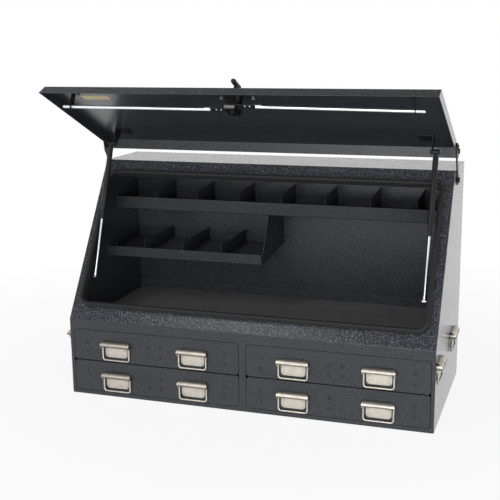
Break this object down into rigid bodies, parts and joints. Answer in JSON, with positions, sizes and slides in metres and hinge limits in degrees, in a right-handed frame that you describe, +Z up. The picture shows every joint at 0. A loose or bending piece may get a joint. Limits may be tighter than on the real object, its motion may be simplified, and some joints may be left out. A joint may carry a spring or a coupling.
{
  "type": "tool chest",
  "caption": "Upright steel tool chest with a sloped opening, a flip-up locking lid on gas struts, divided shelves inside, drawers across the front and drop-bail handles.",
  "frame": {"origin": "centre of the base", "axes": "+X along the width, to the right of someone facing the drawers; +Y from the drawer front to the back; +Z up"},
  "size_m": [1.26, 0.6879, 1.0577],
  "materials": {
    "powder_coat": "fine-textured semi-gloss powder coat",
    "inside_coat": "fine-textured matt powder coat",
    "black_steel": "satin black paint",
    "handle_metal": "satin nickel plate",
    "bright_steel": "bright zinc plate",
    "polished_rod": "ground and chromed",
    "seal_rubber": "matt"
  },
  "bodies": {
    "chest": {"back_panel": "powder_coat", "bottom_panel": "powder_coat", "centre_partition": "inside_coat", "compartment_floor": "inside_coat", "front_frame": "powder_coat", "top_panel": "powder_coat", "side_panel_left": "powder_coat", "side_panel_right": "powder_coat", "lid_seal": "seal_rubber", "outer_slides": "bright_steel", "upper_shelf": "inside_coat", "upper_dividers": "inside_coat", "lower_shelf": "inside_coat", "lower_dividers": "inside_coat", "shelf_screws": "bright_steel", "hinge_bolts": "black_steel", "strut_foot_mounts": "black_steel", "side_handle_mounts": "handle_metal"},
    "lid": {"lid_panel": "powder_coat", "hinge_arms": "black_steel", "hinge_arm_bolts": "black_steel", "strut_head_mounts": "black_steel", "rod_guides": "black_steel", "lock_housing": "black_steel"},
    "lock_spindle": {"t_handle": "black_steel", "lock_cam": "bright_steel"},
    "lock_rod_left": {"lock_rod_left": "bright_steel"},
    "lock_rod_right": {"lock_rod_right": "bright_steel"},
    "strut_rod_left": {"strut_rod_left": "polished_rod"},
    "strut_cylinder_left": {"strut_cylinder_left": "black_steel"},
    "strut_rod_right": {"strut_rod_right": "polished_rod"},
    "strut_cylinder_right": {"strut_cylinder_right": "black_steel"},
    "drawer_lower_left": {"drawer_box_lower_left": "inside_coat", "drawer_front_lower_left": "powder_coat", "drawer_slides_lower_left": "bright_steel", "drawer_handle_mounts_lower_left": "handle_metal"},
    "drawer_bail_lower_left_a": {"drawer_bail_lower_left_a": "handle_metal"},
    "drawer_bail_lower_left_b": {"drawer_bail_lower_left_b": "handle_metal"},
    "drawer_lower_right": {"drawer_box_lower_right": "inside_coat", "drawer_front_lower_right": "powder_coat", "drawer_slides_lower_right": "bright_steel", "drawer_handle_mounts_lower_right": "handle_metal"},
    "drawer_bail_lower_right_a": {"drawer_bail_lower_right_a": "handle_metal"},
    "drawer_bail_lower_right_b": {"drawer_bail_lower_right_b": "handle_metal"},
    "drawer_upper_left": {"drawer_box_upper_left": "inside_coat", "drawer_front_upper_left": "powder_coat", "drawer_slides_upper_left": "bright_steel", "drawer_handle_mounts_upper_left": "handle_metal"},
    "drawer_bail_upper_left_a": {"drawer_bail_upper_left_a": "handle_metal"},
    "drawer_bail_upper_left_b": {"drawer_bail_upper_left_b": "handle_metal"},
    "drawer_upper_right": {"drawer_box_upper_right": "inside_coat", "drawer_front_upper_right": "powder_coat", "drawer_slides_upper_right": "bright_steel", "drawer_handle_mounts_upper_right": "handle_metal"},
    "drawer_bail_upper_right_a": {"drawer_bail_upper_right_a": "handle_metal"},
    "drawer_bail_upper_right_b": {"drawer_bail_upper_right_b": "handle_metal"},
    "side_bail_left_front": {"side_bail_left_front": "handle_metal"},
    "side_bail_left_rear": {"side_bail_left_rear": "handle_metal"},
    "side_bail_right_front": {"side_bail_right_front": "handle_metal"},
    "side_bail_right_rear": {"side_bail_right_rear": "handle_metal"}
  },
  "joints": [
    {"name": "lid_hinge", "type": "hinge", "parent": "chest", "child": "lid", "pos_m": [0, 0.087, 0.7213], "axis": [1, 0, 0], "range_deg": [0, 81.7]},
    {"name": "t_handle_turn", "type": "hinge", "parent": "lid", "child": "lock_spindle", "pos_m": [0, -0.32098, 1.01315], "axis": [0, 0.419, 0.908], "range_deg": [0, 90]},
    {"name": "lock_rod_left_slide", "type": "slide", "parent": "lid", "child": "lock_rod_left", "axis": [-0.9998, -0.0166, 0.0077], "range_m": [0, 0.02566]},
    {"name": "lock_rod_right_slide", "type": "slide", "parent": "lid", "child": "lock_rod_right", "axis": [0.9994, 0.0327, -0.0151], "range_m": [0, 0.02566]},
    {"name": "strut_left_head", "type": "hinge", "parent": "lid", "child": "strut_cylinder_left", "pos_m": [-0.557, -0.03157, 0.82287], "axis": [1, 0, 0], "range_deg": [-96.71, 0]},
    {"name": "strut_left_slide", "type": "slide", "parent": "strut_cylinder_left", "child": "strut_rod_left", "axis": [0, 0.3483, 0.9374], "range_m": [0, 0.18233]},
    {"name": "strut_right_head", "type": "hinge", "parent": "lid", "child": "strut_cylinder_right", "pos_m": [0.557, -0.03157, 0.82287], "axis": [1, 0, 0], "range_deg": [-96.71, 0]},
    {"name": "strut_right_slide", "type": "slide", "parent": "strut_cylinder_right", "child": "strut_rod_right", "axis": [0, 0.3483, 0.9374], "range_m": [0, 0.18233]},
    {"name": "drawer_lower_left_slide", "type": "slide", "parent": "chest", "child": "drawer_lower_left", "axis": [0, -1, 0], "range_m": [0, 0.4]},
    {"name": "drawer_bail_lower_left_a_pivot", "type": "hinge", "parent": "drawer_lower_left", "child": "drawer_bail_lower_left_a", "pos_m": [-0.441, -0.291, 0.0645], "axis": [-1, 0, 0], "range_deg": [0, 90]},
    {"name": "drawer_bail_lower_left_b_pivot", "type": "hinge", "parent": "drawer_lower_left", "child": "drawer_bail_lower_left_b", "pos_m": [-0.169, -0.291, 0.0645], "axis": [-1, 0, 0], "range_deg": [0, 90]},
    {"name": "drawer_lower_right_slide", "type": "slide", "parent": "chest", "child": "drawer_lower_right", "axis": [0, -1, 0], "range_m": [0, 0.4]},
    {"name": "drawer_bail_lower_right_a_pivot", "type": "hinge", "parent": "drawer_lower_right", "child": "drawer_bail_lower_right_a", "pos_m": [0.169, -0.291, 0.0645], "axis": [-1, 0, 0], "range_deg": [0, 90]},
    {"name": "drawer_bail_lower_right_b_pivot", "type": "hinge", "parent": "drawer_lower_right", "child": "drawer_bail_lower_right_b", "pos_m": [0.441, -0.291, 0.0645], "axis": [-1, 0, 0], "range_deg": [0, 90]},
    {"name": "drawer_upper_left_slide", "type": "slide", "parent": "chest", "child": "drawer_upper_left", "axis": [0, -1, 0], "range_m": [0, 0.4]},
    {"name": "drawer_bail_upper_left_a_pivot", "type": "hinge", "parent": "drawer_upper_left", "child": "drawer_bail_upper_left_a", "pos_m": [-0.441, -0.291, 0.1725], "axis": [-1, 0, 0], "range_deg": [0, 90]},
    {"name": "drawer_bail_upper_left_b_pivot", "type": "hinge", "parent": "drawer_upper_left", "child": "drawer_bail_upper_left_b", "pos_m": [-0.169, -0.291, 0.1725], "axis": [-1, 0, 0], "range_deg": [0, 90]},
    {"name": "drawer_upper_right_slide", "type": "slide", "parent": "chest", "child": "drawer_upper_right", "axis": [0, -1, 0], "range_m": [0, 0.4]},
    {"name": "drawer_bail_upper_right_a_pivot", "type": "hinge", "parent": "drawer_upper_right", "child": "drawer_bail_upper_right_a", "pos_m": [0.169, -0.291, 0.1725], "axis": [-1, 0, 0], "range_deg": [0, 90]},
    {"name": "drawer_bail_upper_right_b_pivot", "type": "hinge", "parent": "drawer_upper_right", "child": "drawer_bail_upper_right_b", "pos_m": [0.441, -0.291, 0.1725], "axis": [-1, 0, 0], "range_deg": [0, 90]},
    {"name": "side_bail_left_front_pivot", "type": "hinge", "parent": "chest", "child": "side_bail_left_front", "pos_m": [-0.616, -0.223, 0.195], "axis": [0, 1, 0], "range_deg": [0, 90]},
    {"name": "side_bail_left_rear_pivot", "type": "hinge", "parent": "chest", "child": "side_bail_left_rear", "pos_m": [-0.616, 0.1, 0.195], "axis": [0, 1, 0], "range_deg": [0, 90]},
    {"name": "side_bail_right_front_pivot", "type": "hinge", "parent": "chest", "child": "side_bail_right_front", "pos_m": [0.616, -0.223, 0.195], "axis": [0, -1, 0], "range_deg": [0, 90]},
    {"name": "side_bail_right_rear_pivot", "type": "hinge", "parent": "chest", "child": "side_bail_right_rear", "pos_m": [0.616, 0.1, 0.195], "axis": [0, -1, 0], "range_deg": [0, 90]}
  ],
  "couplings": [
    {"joint": "lock_rod_left_slide", "follows": "t_handle_turn", "m_per_rad": 0.016206},
    {"joint": "lock_rod_right_slide", "follows": "t_handle_turn", "m_per_rad": 0.016206},
    {"joint": "strut_left_head", "follows": "lid_hinge", "ratio": -1.18},
    {"joint": "strut_left_slide", "follows": "lid_hinge", "m_per_rad": 0.12751},
    {"joint": "strut_right_head", "follows": "lid_hinge", "ratio": -1.18},
    {"joint": "strut_right_slide", "follows": "lid_hinge", "m_per_rad": 0.12751}
  ]
}
